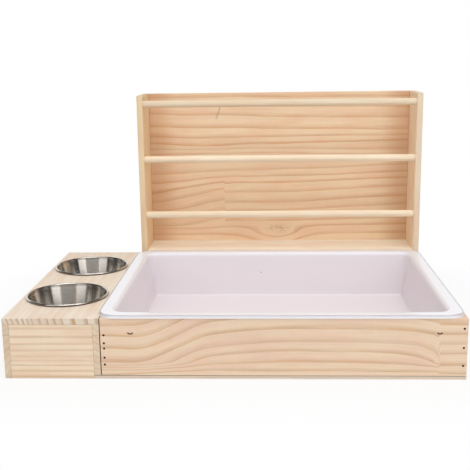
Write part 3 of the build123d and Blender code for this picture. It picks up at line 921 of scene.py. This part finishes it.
FRAME_CUTS = {
    "frame_front": Cut(
        "X", "Z", pith=(150.0, 70.0), depth=-5.0, seed=8.0, wander=1.0, strength=0.9,
        stations=(
            Station(-240, (82, 45, 28, 15.5, -2, -22, -27, -30, -33.5, -41, -54)),
            Station(-185, (82, 47, 30, 13.5, -4, -22, -26, -29, -32.5, -38, -52)),
            Station(-145, (84, 64, 48, 31.5, 13.5, -4, -21.5, -26, -29.5, -35, -50)),
            Station(-105, (100, 84, 68, 52, 34, 16, -2, -14.5, -25, -33, -49)),
            Station(-60, (104, 88, 73, 57, 39, 21, 3, -9.5, -23, -34, -48)),
            Station(0, (108, 92, 77, 61, 43, 25, 7, -5.5, -21, -34, -48)),
            Station(100, (108, 92, 77, 61, 42.5, 24.5, 6.5, -6.5, -22, -34, -48)),
            Station(150, (107, 91, 76, 59.5, 41.5, 23.5, 4.5, -9, -24, -35, -48)),
            Station(180, (105, 89, 74, 57, 39, 21, 2, -14, -25.5, -35, -48)),
            Station(200, (101, 85, 70, 53, 35, 17, -7.5, -22, -27, -35, -48)),
            Station(207, (98, 82, 67, 50, 32.5, 14, -18, -25, -28, -35, -48)),
            Station(209, (98, 82, 67, 50, 31, 17.5, 4, -10, -26, -37, -48)),
            Station(240, (98, 82, 67, 49, 30.5, 17.5, 3.5, -9.5, -26.5, -38, -48)),
        ),
        knots=(Knot(-204.0, 20.7, eye=2.2), Knot(208.0, 21.0, eye=2.0)),
        stains=tuple(
            (side * FRAME_NAIL_ALONG, height - FRAME_MIDDLE_HEIGHT)
            for side, heights in ((-1, (20.4, 30.1, 43.2, 50.6, 61.9)), (1, (19.6, 44.7, 71.3)))
            for height in heights
        ),
        joint="-X",
    ),
    "frame_back": Cut("X", "Z", pith=(-60.0, 90.0), ring=14.0, seed=9.0, joint="-X"),
    "frame_left_side": Cut("Y", "Z", pith=(150.0, 80.0), ring=13.0, seed=10.0, joint="-X"),
    "frame_right_side": Cut("Y", "Z", pith=(-70.0, -60.0), ring=16.0, seed=11.0),
}
RACK_TOP_LEFT = (190, 172, 156, 144, 120, 102, 90, 78, 68.5, 54)
RACK_TOP_SEAM = (190, 172, 156, 141, 117, 98.5, 85, 79, 70, 56)
RACK_BELOW_SHELF = (-97, -128, -160)
RACK_CUTS = {
    # The warm ends are painted shade beside the rack's sides.
    "rack_back": Cut(
        "X", "Z", pith=(330.0, 60.0), depth=-5.0, seed=12.0, wander=1.4, strength=0.8, painted_end_shade=0.37,
        stations=(
            Station(-235, RACK_TOP_LEFT + (32, 14, -6, -21, -38, -50, -65, -68, -82) + RACK_BELOW_SHELF),
            Station(-165, RACK_TOP_SEAM + (34, 19, 8, -8.5, -31, -44, -64, -70, -82) + RACK_BELOW_SHELF),
            Station(-100.5, RACK_TOP_SEAM
                    + (37.5, 27, 18.5, 6.5, -14, -32, -48, -67, -82) + RACK_BELOW_SHELF),
            Station(-99.5, RACK_TOP_SEAM + (37.5, 27, 16, -0.5, -20, -37, -54, -67, -82) + RACK_BELOW_SHELF),
            Station(0, (190, 172, 154.5, 136, 115, 100.5, 88, 79.5, 71, 57,
                        41, 28.5, 16, -2.5, -22.5, -36, -56.5, -66, -80) + RACK_BELOW_SHELF),
            Station(120, (190, 171, 153.5, 134, 113, 102, 90.5, 76, 68, 57,
                          43.5, 31, 21, 4, -15, -30, -53, -63.5, -79) + RACK_BELOW_SHELF),
            Station(235, (190, 170, 151, 133.5, 112, 102, 93, 76.5, 66, 58,
                          49.5, 35, 23, 9, -9, -24, -50, -63, -79) + RACK_BELOW_SHELF),
        ),
        sags=(Sag(-3.0, 50.0, 21.0, top=-58.0, bottom=-80.0),),
        mottles=(Mottle(1.0, -69.0, (22.0, 7.0)),),
        streaks=(Streak((-104.0, 161.0), (-113.0, 135.0), 2.2, 0.27),),
    ),
    # The shelf's tint is painted light: it makes the shelf much lighter and whiter.
    "rack_shelf": Cut(
        "X", "Y", pith=(150.0, -60.0), ring=9.0, seed=13.0, wander=1.5, light_and_shade_tint=(1.08, 1.32, 1.62)
    ),
    "rack_lower_front": Cut("X", "Z", pith=(60.0, 90.0), ring=12.0, seed=14.0),
    # The sides' tints are painted light, and their front-face tones are painted shade on the front edges.
    "rack_left_side": Cut(
        "Z", "Y", pith=(150.0, 60.0), ring=11.0, seed=15.0, wander=1.5, strength=0.35,
        light_and_shade_tint=(1.04, 1.08, 1.02), front_face_shade=0.92,
    ),
    "rack_right_side": Cut(
        "Z", "Y", pith=(-160.0, 50.0), ring=10.0, seed=16.0, wander=1.5, strength=0.35,
        light_and_shade_tint=(1.12, 1.24, 1.34), front_face_shade=0.82,
    ),
}
RAIL_CUTS = {
    # The top rail's tint is painted shade: it makes this rail darker than the others.
    "top_rail": Cut(
        "X", "Z", pith=(40.0, 30.0), ring=4.0, seed=17.0, wander=0.8, strength=0.5, light_and_shade_tint=(0.88, 0.86, 0.84)
    ),
    "middle_rail": Cut("X", "Z", pith=(-30.0, 45.0), ring=4.5, seed=18.0, wander=0.8, strength=0.5),
    "bottom_rail": Cut("X", "Z", pith=(60.0, -25.0), ring=3.6, seed=19.0, wander=0.8, strength=0.5),
}


def dress(node, material):
    """Give a packed piece this material in each of its slots."""
    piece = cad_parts[node]
    for place in piece.material_slots:
        place.material = material


def dress_boards(cuts, wood, make=board_material):
    """Give each board its own sawn pine."""
    for node, cut in cuts.items():
        dress(node, make(f"{node}_pine", node, cut, wood))


# ---- Operators ----


class FEEDER_OT_bowl_box(bpy.types.Operator):
    """Finish the bowl box's boards"""

    bl_idname = "feeder.bowl_box"
    bl_label = "Bowl box boards"

    def execute(self, context):
        dress_boards(BOWL_BOX_CUTS, context.scene.feeder_bowl_box_wood)
        return {"FINISHED"}


class FEEDER_OT_litter_frame(bpy.types.Operator):
    """Finish the litter frame's boards and its base panel"""

    bl_idname = "feeder.litter_frame"
    bl_label = "Litter frame boards"

    def execute(self, context):
        dress_boards(FRAME_CUTS, context.scene.feeder_frame_wood)
        dress("base_panel", plywood_material("base_plywood", "base_panel", context.scene.feeder_base_panel))
        return {"FINISHED"}


class FEEDER_OT_rack(bpy.types.Operator):
    """Finish the hay rack's boards"""

    bl_idname = "feeder.rack"
    bl_label = "Hay rack boards"

    def execute(self, context):
        dress_boards(RACK_CUTS, context.scene.feeder_rack_wood)
        return {"FINISHED"}


class FEEDER_OT_rails(bpy.types.Operator):
    """Finish the hay rack's rails"""

    bl_idname = "feeder.rails"
    bl_label = "Rails"

    def execute(self, context):
        dress_boards(RAIL_CUTS, context.scene.feeder_rail_wood, make=turned_rail_material)
        return {"FINISHED"}


class FEEDER_OT_fasteners(bpy.types.Operator):
    """Finish the nails and screws"""

    bl_idname = "feeder.fasteners"
    bl_label = "Nails and screws"

    def execute(self, context):
        iron = fastener_material("nail_iron", linear(38, 26, 18), 0.7, metallic=0.35, level=0.2)
        zinc = fastener_material("screw_zinc", linear(196, 188, 160), 0.35)
        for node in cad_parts:
            if node.endswith("_nails"):
                dress(node, iron)
            elif node.endswith("_screws"):
                dress(node, zinc)
        return {"FINISHED"}


class FEEDER_OT_bowls(bpy.types.Operator):
    """Make the two steel bowls"""

    bl_idname = "feeder.bowls"
    bl_label = "Bowls"

    def execute(self, context):
        bowls = context.scene.feeder_bowls
        for node in ("front_bowl", "rear_bowl"):
            steel = brushed_steel_material(f"{node}_steel", node, bowls)
            points = bowl_points(node, bowls)
            grid_piece(f"{node}_spun", points, f"{node}_body", steel, replaced=(node,))
        return {"FINISHED"}


class FEEDER_OT_tray(bpy.types.Operator):
    """Make the litter tray"""

    bl_idname = "feeder.tray"
    bl_label = "Litter tray"

    def execute(self, context):
        tray = context.scene.feeder_tray
        gate = Vector((34.0, 118.5, 56.0)) * MM
        plastic = moulded_material("tray_plastic_white", "litter_tray", tray, gate)
        points = tray_points("litter_tray", tray)
        grid_piece("litter_tray_moulding", points, "tray", plastic, replaced=("litter_tray",))
        return {"FINISHED"}


def add_softbox(name, target, azimuth, distance, height, size, power):
    """An area lamp that stands at this azimuth from the front, seen from above, and faces the target."""
    lamp = bpy.data.lights.new(name, "AREA")
    lamp.shape = "RECTANGLE"
    lamp.size, lamp.size_y = size
    lamp.energy = power
    place = target + Vector((math.sin(azimuth) * distance, -math.cos(azimuth) * distance, height))
    holder = bpy.data.objects.new(name, lamp)
    holder.location = place
    holder.rotation_euler = (target - place).to_track_quat("-Z", "Y").to_euler()
    bpy.context.scene.collection.objects.link(holder)


def floor_material(floor):
    """Pale floor that keeps a soft shadow round the object, is even white further out, and is only lit, with
    no white of its own, inside the bowl box."""
    low, high = CAD_BOX
    shader = Shader("studio_floor")
    x, y, _ = shader.place((0.0, 0.0, 0.0))
    beside = (abs(x) - high[0] / MM).most(0.0)
    beyond = (abs(y) - high[1] / MM).most(0.0)
    far = (beside * beside + beyond * beyond).root().rise(0.0, 220.0)
    _, seen = shown_rays(shader.tree)
    corner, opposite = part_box("bowl_box_top")
    middle, half = (corner + opposite) / 2 / MM, (opposite - corner) / 2 / MM
    enclosed = 1 - abs(x - middle.x).rise(half.x - 8, half.x - 3)
    enclosed = enclosed * (1 - abs(y - middle.y).rise(half.y - 8, half.y - 3))
    own_white = far.spread(0.8, 1.0) * seen * (1 - enclosed)
    white = shader.wire("ShaderNodeEmission", {"Color": (1.0, 1.0, 1.0), "Strength": 1.0})
    shader.finish(Base_Color=tuple(floor), Roughness=0.9, Specular_IOR_Level=0.1)
    surface = Wire(shader.tree, shader.surface.outputs[0])
    mixed = shader.wire("ShaderNodeMixShader", {0: own_white, 1: surface, 2: white})
    shader.tree.links.new(mixed.socket, shader.tree.nodes["Material Output"].inputs["Surface"])
    return shader.material


def shown_rays(tree):
    """Two wires: 1 for the camera's own rays, and 1 for those and the ones that gloss and glass pass on."""
    path = tree.nodes.new("ShaderNodeLightPath")
    camera, glossy, clear = (
        Wire(tree, path.outputs[name]) for name in ("Is Camera Ray", "Is Glossy Ray", "Is Transmission Ray")
    )
    return camera, (camera + glossy + clear).least(1.0)


def studio_world(stage):
    """White background for the camera. Gloss and glass show a white backdrop behind the object too, and a dim
    room with a grey wall between the front softboxes. All else gets an even fill, brighter from above."""
    world = bpy.data.worlds.new("studio_white")
    world.use_nodes = True
    bpy.context.scene.world = world
    tree = world.node_tree
    background = tree.nodes["Background"]
    split = tree.nodes.new("ShaderNodeSeparateXYZ")
    tree.links.new(tree.nodes.new("ShaderNodeTexCoord").outputs["Generated"], split.inputs[0])
    x, y, z = (Wire(tree, output) for output in split.outputs)
    azimuth = x.maths("ARCTAN2", y * -1) * (180 / math.pi)
    wall = 1 - abs(azimuth - 11).rise(26.0, 31.0)
    backdrop = y.rise(0.3, 0.5) * (1 - z.rise(0.35, 0.6))
    overhead = z.rise(0.8, 0.95)
    room = (wall * stage.wall + stage.room).most(backdrop).most(overhead)
    fill = z.rise(-0.2, 1.0).spread(stage.fill_side, stage.fill_top)
    camera, shown = shown_rays(tree)
    room = room + camera * (1 - room)
    plug(tree, background.inputs["Color"], (1.0, 1.0, 1.0))
    plug(tree, background.inputs["Strength"], shown * (room - fill) + fill)


class FEEDER_OT_stage(bpy.types.Operator):
    """Make the floor, the lamps and the camera"""

    bl_idname = "feeder.stage"
    bl_label = "Stage"

    def execute(self, context):
        stage = context.scene.feeder_stage
        scene = context.scene
        scene.view_settings.view_transform = "Standard"
        reach = 4.0
        corners = [(-reach, -reach, 0), (reach, -reach, 0), (reach, reach, 0), (-reach, reach, 0)]
        mesh = bpy.data.meshes.new("studio_floor")
        mesh.from_pydata(corners, [], [(0, 1, 2, 3)])
        mesh.materials.append(floor_material(stage.floor))
        floor = bpy.data.objects.new("studio_floor", mesh)
        scene.collection.objects.link(floor)
        studio_world(stage)

        bowls, middle = Vector((-0.247, -0.04, 0.09)), Vector((0.0, 0.0, 0.15))
        key, top = stage.key_power, stage.top_power
        add_softbox("left_softbox", bowls, math.radians(-30), 2.2, 0.65, (1.22, 1.5), key)
        add_softbox("right_softbox", bowls, math.radians(49.3), 2.2, 0.65, (1.03, 1.5), key)
        add_softbox("top_softbox", middle, math.radians(8), 1.05, 2.0, (1.8, 1.3), top)

        data = bpy.data.cameras.new("photo_camera")
        data.sensor_width = 36.0
        data.lens = stage.lens
        data.clip_start, data.clip_end = 0.05, 50.0
        camera = bpy.data.objects.new("photo_camera", data)
        aim = (
            Matrix.Rotation(stage.yaw, 4, "Z")
            @ Matrix.Rotation(math.pi / 2 - stage.pitch, 4, "X")
            @ Matrix.Rotation(stage.roll, 4, "Z")
        )
        camera.matrix_world = Matrix.Translation(stage.camera) @ aim
        scene.collection.objects.link(camera)
        scene.camera = camera
        return {"FINISHED"}


class FEEDER_PT_panel(bpy.types.Panel):
    """Sidebar panel that lists the steps in order"""

    bl_idname = "FEEDER_PT_panel"
    bl_label = "Hay feeder box"
    bl_space_type = "VIEW_3D"
    bl_region_type = "UI"
    bl_category = "Feeder"

    def draw(self, context):
        for operator in OPERATORS:
            self.layout.operator(operator.bl_idname)
        for name in SETTINGS:
            group = getattr(context.scene, name)
            box = self.layout.box()
            box.label(text=type(group).__doc__)
            for key in type(group).__annotations__:
                box.prop(group, key)


SETTINGS = {
    "feeder_bowl_box_wood": FeederBowlBoxWood,
    "feeder_frame_wood": FeederFrameWood,
    "feeder_rack_wood": FeederRackWood,
    "feeder_rail_wood": FeederRailWood,
    "feeder_base_panel": FeederBasePanel,
    "feeder_bowls": FeederBowls,
    "feeder_tray": FeederTray,
    "feeder_stage": FeederStage,
}
OPERATORS = (
    FEEDER_OT_bowl_box,
    FEEDER_OT_litter_frame,
    FEEDER_OT_rack,
    FEEDER_OT_rails,
    FEEDER_OT_fasteners,
    FEEDER_OT_bowls,
    FEEDER_OT_tray,
    FEEDER_OT_stage,
)


def register():
    for group in SETTINGS.values():
        bpy.utils.register_class(group)
    for name, group in SETTINGS.items():
        setattr(bpy.types.Scene, name, PointerProperty(type=group))
    for operator in OPERATORS:
        bpy.utils.register_class(operator)
    bpy.utils.register_class(FEEDER_PT_panel)


def unregister():
    bpy.utils.unregister_class(FEEDER_PT_panel)
    for operator in reversed(OPERATORS):
        bpy.utils.unregister_class(operator)
    for name in SETTINGS:
        delattr(bpy.types.Scene, name)
    for group in reversed(SETTINGS.values()):
        bpy.utils.unregister_class(group)


def main():
    register()
    bpy.ops.feeder.bowl_box()
    bpy.ops.feeder.litter_frame()
    bpy.ops.feeder.rack()
    bpy.ops.feeder.rails()
    bpy.ops.feeder.fasteners()
    bpy.ops.feeder.bowls()
    bpy.ops.feeder.tray()
    bpy.ops.feeder.stage()


if __name__ == "__main__":
    main()
